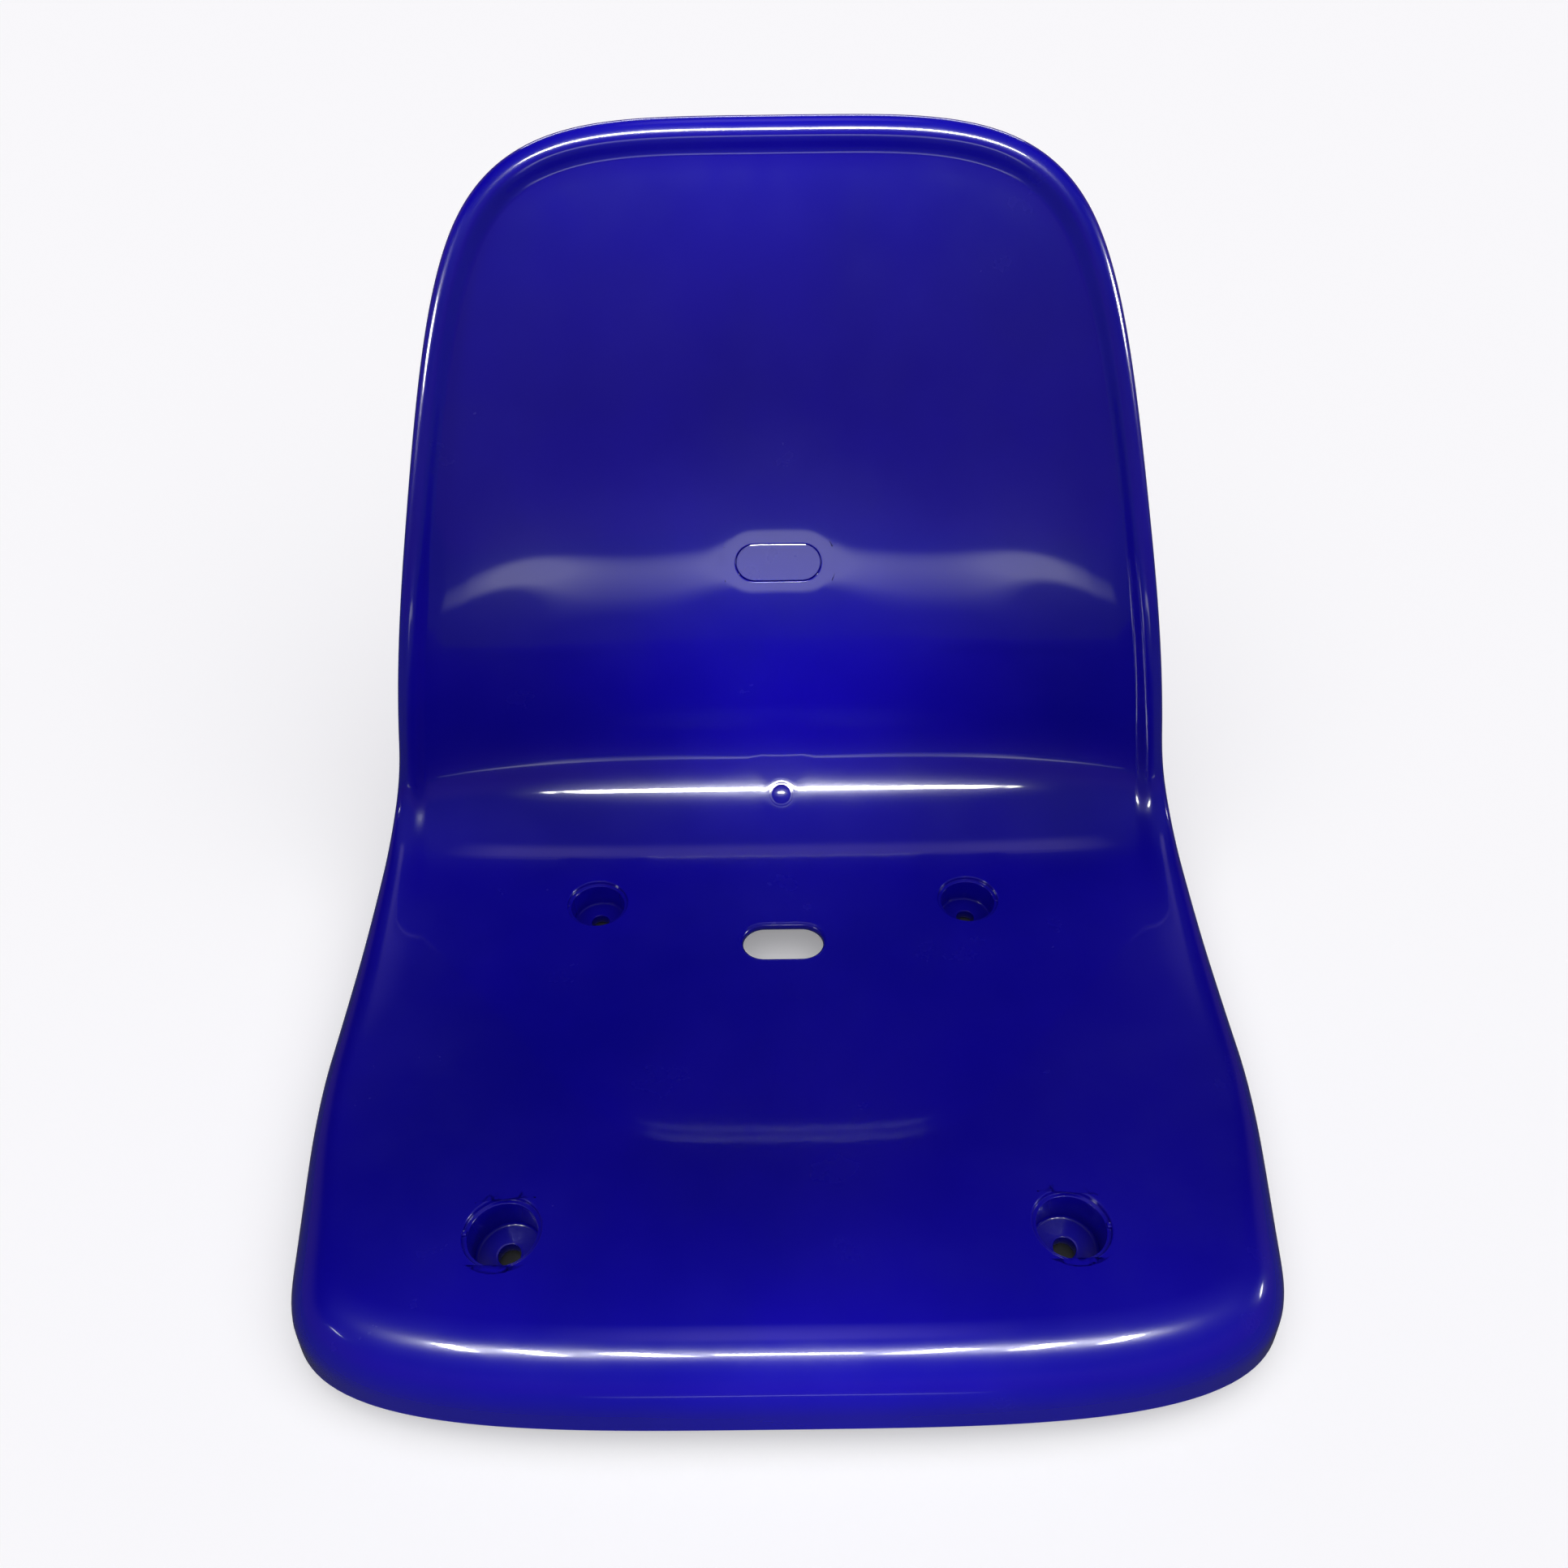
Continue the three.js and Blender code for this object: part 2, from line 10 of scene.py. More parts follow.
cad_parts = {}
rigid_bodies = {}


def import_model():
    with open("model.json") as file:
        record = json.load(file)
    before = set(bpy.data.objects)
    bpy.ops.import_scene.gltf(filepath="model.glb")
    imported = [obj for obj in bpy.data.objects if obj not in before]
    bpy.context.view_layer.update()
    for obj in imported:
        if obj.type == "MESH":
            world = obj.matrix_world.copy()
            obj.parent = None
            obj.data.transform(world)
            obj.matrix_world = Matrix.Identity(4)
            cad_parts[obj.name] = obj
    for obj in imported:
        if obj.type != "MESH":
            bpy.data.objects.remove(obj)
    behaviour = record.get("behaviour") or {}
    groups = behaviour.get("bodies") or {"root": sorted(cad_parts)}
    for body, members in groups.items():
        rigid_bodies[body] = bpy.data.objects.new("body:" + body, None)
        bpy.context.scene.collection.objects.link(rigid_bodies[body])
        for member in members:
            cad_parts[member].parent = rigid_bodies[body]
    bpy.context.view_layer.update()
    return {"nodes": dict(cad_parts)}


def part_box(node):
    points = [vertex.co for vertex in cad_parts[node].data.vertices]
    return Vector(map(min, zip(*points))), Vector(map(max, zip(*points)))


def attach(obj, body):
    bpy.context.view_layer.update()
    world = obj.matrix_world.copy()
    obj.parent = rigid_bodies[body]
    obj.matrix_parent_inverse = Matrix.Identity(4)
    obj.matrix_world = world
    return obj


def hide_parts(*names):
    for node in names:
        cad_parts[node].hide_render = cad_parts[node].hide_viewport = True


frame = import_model()
print("frame loaded:", len(frame["nodes"]), "nodes")

# The centre line of the seat, from the front edge over the pan and up the back.
# A bend starts at a station, reaches over a span and turns by so many degrees.
centre = {
    "seatRun": 0.262,
    "creaseSpan": 0.116,
    "backRun": 0.286,
    "frontFall": 5.5,
    "dish": (0.039, 0.184, 2.5),
    "scoop": (0.190, 0.136, 6.0),
    "crease": (0.262, 0.116, 82.0),
    "lumbar": (0.378, 0.107, -8.5),
    "recline": (0.468, 0.184, -6.0),
    "steps": 600,
}
bends = ("dish", "scoop", "crease", "lumbar", "recline")
creaseEnd = centre["seatRun"] + centre["creaseSpan"]
seatLength = creaseEnd + centre["backRun"]

# The outline laid out flat, and how far its sides lift
plan = {
    "frontHalf": 0.1965,
    "hipHalf": 0.2155,
    "topHalf": 0.168,
    "flareSpan": 0.157,
    "taperStart": 0.273,
    "taperSpan": 0.345,
    "frontCorner": 0.063,
    "frontPower": 3.5,
    "topCorner": 0.243,
    "topPower": 4.2,
    "hipLift": 0.026,
    "topLift": 0.003,
    "liftStart": 0.080,
    "liftPower": 4,
    "crowding": 0.6,
}


def ease(value, low, high):
    part = min(max((value - low) / (high - low), 0.0), 1.0)
    return part * part * (3.0 - 2.0 * part)


def between(first, second, part):
    return first + (second - first) * part


def headingAt(station):
    degrees = -centre["frontFall"]
    for name in bends:
        start, span, turn = centre[name]
        degrees += turn * ease(station, start, start + span)
    return math.radians(degrees)


def traceLine():
    stride = seatLength / centre["steps"]
    points = [Vector((0.0, 0.0))]
    for step in range(centre["steps"]):
        heading = headingAt((step + 0.5) * stride)
        points.append(points[-1] + stride * Vector((math.cos(heading), math.sin(heading))))
    return points


centreLine = traceLine()


def centreAt(station):
    inside = min(max(station, 0.0), seatLength)
    place = inside / seatLength * centre["steps"]
    index = min(int(place), centre["steps"] - 1)
    point = centreLine[index].lerp(centreLine[index + 1], place - index)
    heading = headingAt(inside)
    return point + (station - inside) * Vector((math.cos(heading), math.sin(heading)))


def halfWidthAt(station):
    seat = between(plan["frontHalf"], plan["hipHalf"], ease(station, 0.0, plan["flareSpan"]))
    taperEnd = plan["taperStart"] + plan["taperSpan"]
    return seat - (plan["hipHalf"] - plan["topHalf"]) * ease(station, plan["taperStart"], taperEnd)


def liftAt(station):
    rise = plan["hipLift"] * ease(station, plan["liftStart"], centre["seatRun"] + centre["creaseSpan"] / 2)
    return rise - (plan["hipLift"] - plan["topLift"]) * ease(station, creaseEnd, seatLength)


# Shallow sink mark that the thick collar of the plate leaves round its recess
sinkMark = {"station": 0.464, "half": 0.012, "depth": 0.00045, "width": 0.013}


def sinkAt(across, station):
    beyond = max(abs(across) - sinkMark["half"], 0.0)
    away = (beyond ** 2 + (station - sinkMark["station"]) ** 2) / sinkMark["width"] ** 2
    return sinkMark["depth"] * math.exp(-away)


# Bends a place on the flat seat, given as across, station and rise, into shape
def bentPlace(across, station, rise):
    point = centreAt(station)
    heading = headingAt(station)
    share = min(abs(across) / halfWidthAt(station), 1.0)
    height = rise + liftAt(station) * share ** plan["liftPower"] - sinkAt(across, station)
    return Vector((across, point.x - height * math.sin(heading), point.y + height * math.cos(heading)))


# The four bolt cups. Their places come from the bushes of the frame.
cup = {
    "frontStation": 0.064,
    "rearStation": 0.256,
    "frontDepth": 0.020,
    "rearDepth": 0.015,
    "floor": 0.005,
    "capRadius": 0.016,
    "capDepth": 0.002,
    "radius": 0.0142,
    "holeRadius": 0.00475,
    "bossRadius": 0.019,
    "bushHoleRadius": 0.007,
    "bossFoot": 0.004,
    "gap": 0.0003,
    "edge": 0.0007,
    "coreHeight": 0.1,
    "cells": 12,
}


def cupPlaces():
    places = []
    for row in ("front", "rear"):
        for side in ("left", "right"):
            low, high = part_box(f"bush_{row}_{side}")
            depth = cup[row + "Depth"]
            places.append({
                "name": f"{row}_{side}",
                "across": (low[0] + high[0]) / 2,
                "station": cup[row + "Station"],
                "depth": depth,
                "top": Vector((
                    (low[0] + high[0]) / 2,
                    (low[1] + high[1]) / 2,
                    high[2] + cup["gap"] + cup["floor"] + depth,
                )),
            })
    return places


cups = cupPlaces()
rearCup = cups[2]
seatShift = rearCup["top"] - bentPlace(rearCup["across"], rearCup["station"], 0.0)


def surfacePlace(across, station, rise):
    return bentPlace(across, station, rise) + seatShift


# A turned and moved frame on the show face: X across, Y up the centre line, Z out of the surface
def surfaceFrame(across, station):
    turn = Matrix.Rotation(headingAt(station), 4, "X")
    return Matrix.Translation(surfacePlace(across, station, 0.0)) @ turn


# The cross-section of the edge: wall, roll and skirt at the front, at the sides and round the back
edge = {
    "wall": 0.004,
    "panelInset": 0.029,
    "roll": (0.023, 0.014, 0.008),
    "skirt": (0.031, 0.022, 0.012),
    "beadRise": 0.0045,
    "beadWidth": (0.0135, 0.0165),
    "beadTop": 0.160,
    "draft": 0.05,
    "lipFade": 0.120,
    "rimStart": 0.202,
    "bandSteps": 2,
    "filletSteps": 7,
    "rollSteps": 12,
    "skirtSteps": 2,
    "columns": 92,
    "rows": 148,
    "settling": 1500,
    "settlingPull": 0.9,
    "smooth": 38.0,
}


def alongEdge(front, side, back, station):
    seat = between(front, side, ease(station, 0.0, edge["lipFade"]))
    return between(seat, back, ease(station, edge["rimStart"], creaseEnd))


def rounding(share, power):
    return 1.0 - (1.0 - abs(share) ** power) ** (1.0 / power)


frontTurn = 2.0 ** (-1.0 / plan["frontPower"])
topTurn = 2.0 ** (-1.0 / plan["topPower"])


def frontSide(part):
    share = -math.cos(math.pi * part) * frontTurn
    station = plan["frontCorner"] * rounding(share, plan["frontPower"])
    return Vector((share * halfWidthAt(station), station))


def topSide(part):
    share = -math.cos(math.pi * part) * topTurn
    station = seatLength - plan["topCorner"] * rounding(share, plan["topPower"])
    return Vector((share * halfWidthAt(station), station))


def flank(part, side):
    first = plan["frontCorner"] * (1.0 - frontTurn)
    last = seatLength - plan["topCorner"] * (1.0 - topTurn)
    crowded = (1.0 - math.cos(math.pi * part)) / 2
    station = between(first, last, between(part, crowded, plan["crowding"]))
    frontShare = min(max(1.0 - station / plan["frontCorner"], 0.0), 1.0)
    topShare = min(max(1.0 - (seatLength - station) / plan["topCorner"], 0.0), 1.0)
    narrowing = 1.0 - rounding(frontShare, plan["frontPower"]) - rounding(topShare, plan["topPower"])
    return Vector((side * halfWidthAt(station) * narrowing, station))


# The outline as one loop: front, right flank, top, left flank
def outlineLoop(columns, rows):
    loop = [frontSide(column / columns) for column in range(columns)]
    loop += [flank(row / rows, 1) for row in range(rows)]
    loop += [topSide(column / columns) for column in range(columns, 0, -1)]
    loop += [flank(row / rows, -1) for row in range(rows, 0, -1)]
    return loop


def inwardAt(loop, index):
    ahead = loop[(index + 1) % len(loop)] - loop[index]
    behind = loop[index] - loop[index - 1]
    along = (ahead / ahead.length_squared + behind / behind.length_squared).normalized()
    return Vector((-along.y, along.x))


# Inset and rise of each loop of the edge, from the panel out to the foot of the skirt
def edgeSection(station):
    roll = alongEdge(*edge["roll"], station)
    skirt = alongEdge(*edge["skirt"], station)
    bead = alongEdge(0.0, 0.0, edge["beadRise"], station)
    beadWidth = between(*edge["beadWidth"], ease(station, seatLength - edge["beadTop"], seatLength))
    start = alongEdge(edge["panelInset"], edge["panelInset"], beadWidth, station)
    section = []
    for step in range(edge["bandSteps"]):
        part = (step + 1) / edge["bandSteps"]
        section.append((between(edge["panelInset"], min(start, edge["panelInset"] * 0.999), part), 0.0))
    for step in range(edge["filletSteps"]):
        part = (step + 1) / edge["filletSteps"]
        section.append((between(start, roll, part), bead * ease(part, 0.0, 1.0)))
    for step in range(edge["rollSteps"]):
        angle = math.pi / 2 * (step + 1) / edge["rollSteps"]
        section.append((roll * (1.0 - math.sin(angle)), bead - roll * (1.0 - math.cos(angle))))
    for step in range(edge["skirtSteps"]):
        part = (step + 1) / edge["skirtSteps"]
        foot = between(roll - bead, skirt, part)
        section.append((-edge["draft"] * (foot + bead - roll), -foot))
    return section


# Small helpers for work in edit mode. An edge sharper than this angle is rounded.
sharpAngle = 60.0


def deselectAll():
    for other in bpy.context.scene.objects:
        other.select_set(False)


def makeActive(piece):
    deselectAll()
    piece.select_set(True)
    bpy.context.view_layer.objects.active = piece


def newest(name):
    piece = bpy.context.object
    piece.name = name
    piece.data.name = name
    return piece


def editMode(piece, kind="VERT"):
    makeActive(piece)
    bpy.ops.object.mode_set(mode="EDIT")
    bpy.ops.mesh.select_mode(type=kind)
    bpy.ops.mesh.select_all(action="DESELECT")
    return bmesh.from_edit_mesh(piece.data)


def objectMode():
    bpy.ops.object.mode_set(mode="OBJECT")


def applyModifier(piece, kind, **settings):
    makeActive(piece)
    modifier = piece.modifiers.new(kind.lower(), kind)
    for key, value in settings.items():
        setattr(modifier, key, value)
    bpy.ops.object.modifier_apply(modifier=modifier.name)


def roundEdges(piece, width, segments):
    applyModifier(piece, "BEVEL", width=width, segments=segments, angle_limit=math.radians(sharpAngle))


def smoothShade(piece, angle):
    makeActive(piece)
    bpy.ops.object.shade_smooth_by_angle(angle=math.radians(angle))


# What is cut into the flat seat, each with the profile of its wall as radius and rise.
# The radius counts from a straight core that reaches to both sides of the middle.
slot = {
    "station": 0.228,
    "length": 0.042,
    "width": 0.023,
    "topEdge": 0.0022,
    "lowEdge": 0.0005,
    "cells": (14, 10),
}
recess = {
    "station": 0.464,
    "length": 0.0436,
    "width": 0.0192,
    "sink": 0.0006,
    "thickness": 0.0016,
    "gap": 0.0003,
    "topEdge": 0.0004,
    "apron": 0.008,
    "pad": 0.003,
    "collar": 0.005,
    "pegRadius": 0.002,
    "pegSpacing": 0.024,
    "pegHoleSides": 24,
    "headRadius": 0.003,
    "headHeight": 0.0015,
    "reach": 0.0006,
    "cells": (16, 10),
}
gate = {
    "station": 0.3263,
    "outerRing": 0.0070,
    "innerRing": 0.0054,
    "ridge": 0.00008,
    "dimple": 0.0005,
    "cells": (8, 8),
}


# Quarter of a round edge that starts level and ends upright, or the other way round
def roundEdge(radius, rise, size, steps, inwards=True, hollow=False):
    points = []
    for step in range(steps + 1):
        angle = math.pi / 2 * step / steps
        level, drop = math.sin(angle), 1.0 - math.cos(angle)
        if hollow:
            level, drop = 1.0 - math.cos(angle), math.sin(angle)
        points.append((radius + (-1 if inwards else 1) * size * level, rise - size * drop))
    return points


def cupTopProfile(place):
    cap, ledge, depth = cup["capRadius"], -cup["capDepth"], -place["depth"]
    small, bore, hole = cup["edge"], cup["radius"], cup["holeRadius"]
    floorRound, holeEdge = 2 * cup["edge"], cup["edge"] / 2
    profile = [(cap + 4 * small, 0.0), (cap + 1.6 * small, 0.0)]
    profile += roundEdge(cap + small, 0.0, small, 4)
    profile += roundEdge(cap, ledge + small / 2, small / 2, 3, hollow=True)
    profile += roundEdge(bore + small / 2, ledge, small / 2, 3)
    profile += roundEdge(bore, depth + floorRound, floorRound, 4, hollow=True)
    profile += [(hole + 3 * holeEdge, depth)]
    profile += roundEdge(hole + holeEdge, depth, holeEdge, 2)
    profile += [(hole, depth - cup["floor"])]
    return profile


def cupLowProfile(place):
    boss, under = cup["bossRadius"], -edge["wall"]
    fillet, small = 3 * cup["edge"], cup["edge"]
    foot = cup["bossFoot"] - place["top"].z
    bush, hole = cup["bushHoleRadius"], cup["holeRadius"]
    profile = [(boss + 1.4 * fillet, under)]
    profile += roundEdge(boss + fillet, under, fillet, 4, hollow=True)
    profile += roundEdge(boss, foot + small, small, 3)
    profile += [(bush + small / 2, foot), (bush, foot + small / 2)]
    profile += [(bush, -place["depth"] - cup["floor"]), (hole, -place["depth"] - cup["floor"])]
    return profile


def slotProfiles():
    radius, under = slot["width"] / 2, -edge["wall"]
    top = [(radius + 1.5 * slot["topEdge"], 0.0)]
    top += roundEdge(radius + slot["topEdge"], 0.0, slot["topEdge"], 6)
    top += [(radius, under + slot["lowEdge"])]
    low = [(radius + 3 * slot["lowEdge"], under), (radius + slot["lowEdge"], under)]
    low += [(radius + slot["lowEdge"] * 0.3, under + slot["lowEdge"] * 0.3)]
    low += [(radius, under + slot["lowEdge"])]
    return top, low


def recessProfiles():
    radius = recess["width"] / 2 + recess["gap"]
    floor = -(recess["sink"] + recess["thickness"] + recess["gap"])
    under, back = -edge["wall"], -edge["wall"] - recess["pad"]
    outer, small = recess["width"] / 2 + recess["collar"], recess["topEdge"]
    top = [(radius + part * recess["apron"], 0.0) for part in (1.0, 0.75, 0.5, 0.25)]
    top += [(radius + 1.5 * small, 0.0)] + roundEdge(radius + small, 0.0, small, 4)
    top += [(radius, floor), (radius * 0.6, floor)]
    low = [(outer + 4 * small, under)]
    low += roundEdge(outer + 2 * small, under, 2 * small, 3, hollow=True)
    low += roundEdge(outer, back + small, small, 3)
    low += [(outer * 0.6, back)]
    return top, low


def gateProfile():
    outer, inner, ridge = gate["outerRing"], gate["innerRing"], gate["ridge"]
    profile = [(outer * 1.5, 0.0), (outer * 1.1, 0.0), (outer * 1.05, ridge / 2), (outer, ridge)]
    profile += [(outer * 0.95, ridge / 2), (between(inner, outer, 0.55), 0.0), (inner * 1.06, ridge)]
    profile += [(inner, ridge), (inner * 0.94, -ridge)]
    for step in range(1, 7):
        share = step / 7
        profile.append((inner * 0.94 * (1.0 - share), -ridge - gate["dimple"] * (1.0 - (1.0 - share) ** 2)))
    return profile


def featureList():
    features = []
    for place in cups:
        features.append({
            "across": place["across"], "station": place["station"], "reach": 0.0,
            "cells": (cup["cells"], cup["cells"]),
            "top": cupTopProfile(place), "low": cupLowProfile(place), "close": False,
        })
    for sizes, profiles in ((slot, slotProfiles()), (recess, recessProfiles())):
        features.append({
            "across": 0.0, "station": sizes["station"], "reach": (sizes["length"] - sizes["width"]) / 2,
            "cells": sizes["cells"], "top": profiles[0], "low": profiles[1], "close": sizes is recess,
        })
    features.append({
        "across": 0.0, "station": gate["station"], "reach": 0.0,
        "cells": gate["cells"], "top": gateProfile(), "low": None, "close": True,
    })
    return features


# The flat panel: a grid whose edge follows the outline and whose inside settles evenly
def flatPanel(outline):
    columns, rows = edge["columns"], edge["rows"]
    bpy.ops.mesh.primitive_grid_add(x_subdivisions=columns, y_subdivisions=rows, size=1.0)
    piece = newest("seatShell")
    mesh = piece.data
    lap = mesh.attributes.new("lap", "INT", "POINT")
    block = mesh.attributes.new("block", "INT", "POINT")
    stride = columns + 1
    inset = edge["panelInset"]
    innerEdge = [point + inwardAt(outline, index) * inset for index, point in enumerate(outline)]

    def lapOf(column, row):
        if row == 0:
            return column
        if row == rows:
            return 2 * columns + rows - column
        if column == columns:
            return columns + row
        if column == 0:
            return (len(outline) - row) % len(outline)
        return -1

    for vertex in mesh.vertices:
        column = round((vertex.co.x + 0.5) * columns)
        row = round((vertex.co.y + 0.5) * rows)
        place = lapOf(column, row)
        lap.data[vertex.index].value = place
        block.data[vertex.index].value = row * stride + column
        if place < 0:
            point = innerEdge[lapOf(0, row)].lerp(innerEdge[lapOf(columns, row)], column / columns)
        else:
            point = innerEdge[place]
        vertex.co = (point.x, point.y, 0.0)
    flat = editMode(piece)
    lapLayer = flat.verts.layers.int["lap"]
    for vertex in flat.verts:
        vertex.select = vertex[lapLayer] < 0
    flat.select_flush_mode()
    bmesh.update_edit_mesh(mesh)
    bpy.ops.mesh.vertices_smooth(factor=edge["settlingPull"], repeat=edge["settling"])
    objectMode()
    return piece


def extrudeLoop(piece, placing):
    bpy.ops.mesh.extrude_edges_move(TRANSFORM_OT_translate={"value": (0.0, 0.0, 0.0)})
    flat = bmesh.from_edit_mesh(piece.data)
    for vertex in flat.verts:
        if vertex.select:
            vertex.co = placing(flat, vertex)
    bmesh.update_edit_mesh(piece.data)


def addEdge(piece, outline):
    sections = [edgeSection(point.y) for point in outline]
    inwards = [inwardAt(outline, index) for index in range(len(outline))]
    flat = editMode(piece, "EDGE")
    for line in flat.edges:
        line.select = line.is_boundary
    bmesh.update_edit_mesh(piece.data)
    for step in range(len(sections[0])):
        def placing(mesh, vertex):
            index = vertex[mesh.verts.layers.int["lap"]]
            inset, rise = sections[index][step]
            point = outline[index] + inwards[index] * inset
            return Vector((point.x, point.y, rise))
        extrudeLoop(piece, placing)
    bpy.ops.mesh.select_all(action="SELECT")
    bpy.ops.mesh.normals_make_consistent(inside=False)
    objectMode()


def blockOf(piece, feature):
    stride = edge["columns"] + 1
    panel = stride * (edge["rows"] + 1)
    block = piece.data.attributes["block"].data
    near = min(
        (vertex for vertex in piece.data.vertices[:panel]),
        key=lambda vertex: (vertex.co.x - feature["across"]) ** 2 + (vertex.co.y - feature["station"]) ** 2,
    )
    row, column = divmod(block[near.index].value, stride)
    wide, high = feature["cells"]
    return column - wide // 2, column + wide // 2, row - high // 2, row + high // 2


def openBlocks(piece, features):
    stride = edge["columns"] + 1
    blocks = [blockOf(piece, feature) for feature in features]
    flat = editMode(piece, "FACE")
    layer = flat.verts.layers.int["block"]
    lap = flat.verts.layers.int["lap"]
    for face in flat.faces:
        numbers = [divmod(vertex[layer], stride) for vertex in face.verts]
        if any(abs(vertex.co.z) > edge["wall"] * 1.01 for vertex in face.verts):
            continue
        if all(vertex[lap] >= 0 for vertex in face.verts):
            continue
        low = face.calc_center_median().z < -edge["wall"] / 2
        for feature, (left, right, front, back) in zip(features, blocks):
            inside = all(left <= column <= right and front <= row <= back for row, column in numbers)
            if inside and not (low and feature["low"] is None):
                face.select = True
    bmesh.update_edit_mesh(piece.data)
    bpy.ops.mesh.delete(type="FACE")
    objectMode()


# Steps the open loops of some like features inwards along their profiles
def sinkLoops(piece, features, side):
    farthest = 0.045
    flat = editMode(piece, "EDGE")

    def owner(point):
        for feature in features:
            if (point.xy - Vector((feature["across"], feature["station"]))).length < farthest:
                return feature
        return None

    for line in flat.edges:
        if line.is_boundary:
            middle = (line.verts[0].co + line.verts[1].co) / 2
            low = middle.z < -edge["wall"] / 2
            line.select = owner(middle) is not None and low == (side == "low")
    bmesh.update_edit_mesh(piece.data)
    for step in range(len(features[0][side])):
        def placing(mesh, vertex):
            feature = owner(vertex.co)
            radius, rise = feature[side][step]
            offset = vertex.co.x - feature["across"]
            core = min(max(offset, -feature["reach"]), feature["reach"]) + feature["across"]
            middle = Vector((core, feature["station"]))
            point = middle + (vertex.co.xy - middle).normalized() * radius
            return Vector((point.x, point.y, rise))
        extrudeLoop(piece, placing)
    if features[0]["close"]:
        bpy.ops.mesh.edge_face_add()
    objectMode()


def bendShell(piece):
    upright = -2 * edge["wall"]
    for vertex in piece.data.vertices:
        across, station, rise = vertex.co
        vertex.co = surfacePlace(across, station, rise)
        if rise < upright:
            for place in cups:
                offset = Vector((across - place["across"], station - place["station"], rise))
                if offset.xy.length < cup["bossRadius"] * 1.02:
                    vertex.co = place["top"] + offset


# Ribs under the pan and behind the crease, bent with the seat
rib = {
    "thickness": 0.0026,
    "depth": 0.015,
    "tip": 0.005,
    "fade": 0.060,
    "start": 0.034,
    "end": 0.350,
    "across": 0.108,
    "crossHalf": 0.154,
    "steps": 64,
    "edge": 0.0004,
}


def ribPiece(name, start, end, fixed, lengthwise):
    bpy.ops.mesh.primitive_grid_add(x_subdivisions=rib["steps"], y_subdivisions=2, size=1.0)
    piece = newest(name)
    for vertex in piece.data.vertices:
        along = between(start, end, vertex.co.x + 0.5)
        toEnd = min(along - start, end - along)
        depth = between(rib["tip"], rib["depth"], ease(toEnd, 0.0, rib["fade"]))
        rise = between(-depth, -edge["wall"] / 2, vertex.co.y + 0.5)
        vertex.co = (fixed, along, rise) if lengthwise else (along, fixed, rise)
    applyModifier(piece, "SOLIDIFY", thickness=rib["thickness"], offset=0.0)
    editMode(piece)
    bpy.ops.mesh.select_all(action="SELECT")
    bpy.ops.mesh.normals_make_consistent(inside=False)
    objectMode()
    roundEdges(piece, rib["edge"], 2)
    for vertex in piece.data.vertices:
        vertex.co = surfacePlace(*vertex.co)
    return piece


def ribPieces():
    pieces = []
    for side in (-1, 1):
        pieces.append(ribPiece("rib", rib["start"], rib["end"], side * rib["across"], True))
    for station in (cup["frontStation"], cup["rearStation"]):
        pieces.append(ribPiece("crossRib", -rib["crossHalf"], rib["crossHalf"], station, False))
    return pieces


def cylinderAt(name, radius, low, high, x, y, vertices=48):
    bpy.ops.mesh.primitive_cylinder_add(
        vertices=vertices, radius=radius, depth=high - low, location=(x, y, (low + high) / 2)
    )
    piece = newest(name)
    piece.data.transform(piece.matrix_world)
    piece.matrix_world = Matrix()
    return piece


def joined(pieces):
    makeActive(pieces[0])
    for piece in pieces:
        piece.select_set(True)
    bpy.ops.object.join()
    return pieces[0]


def combine(piece, other, operation, keep=False):
    applyModifier(piece, "BOOLEAN", operation=operation, object=other, solver="MANIFOLD")
    if not keep:
        bpy.data.objects.remove(other)


# Nib on the outer side of each cup's ledge
nib = {"width": 0.0024, "reach": 0.0016, "height": 0.0012, "edge": 0.0003, "overrun": 0.001}


def nibPiece(place):
    bpy.ops.mesh.primitive_cube_add(size=1.0)
    piece = newest("nib")
    outwards = 1 if place["across"] > 0 else -1
    length = nib["reach"] + nib["overrun"]
    for vertex in piece.data.vertices:
        vertex.co.x = vertex.co.x * length + outwards * (cup["capRadius"] + nib["overrun"] - length / 2)
        vertex.co.y *= nib["width"]
        vertex.co.z = vertex.co.z * (nib["height"] + nib["overrun"]) - cup["capDepth"]
        vertex.co.z += (nib["height"] - nib["overrun"]) / 2
    roundEdges(piece, nib["edge"], 2)
    piece.data.transform(surfaceFrame(place["across"], place["station"]))
    return piece


def pegHoles():
    low = -edge["wall"] - recess["pad"] - nib["overrun"]
    high = -recess["sink"] - recess["thickness"] - recess["gap"] + nib["overrun"]
    radius = recess["pegRadius"] + recess["gap"]
    away = recess["pegSpacing"] / 2
    cutter = joined([
        cylinderAt("pegHole", radius, low, high, side * away, 0.0, recess["pegHoleSides"])
        for side in (-1, 1)
    ])
    cutter.data.transform(surfaceFrame(0.0, recess["station"]))
    return cutter


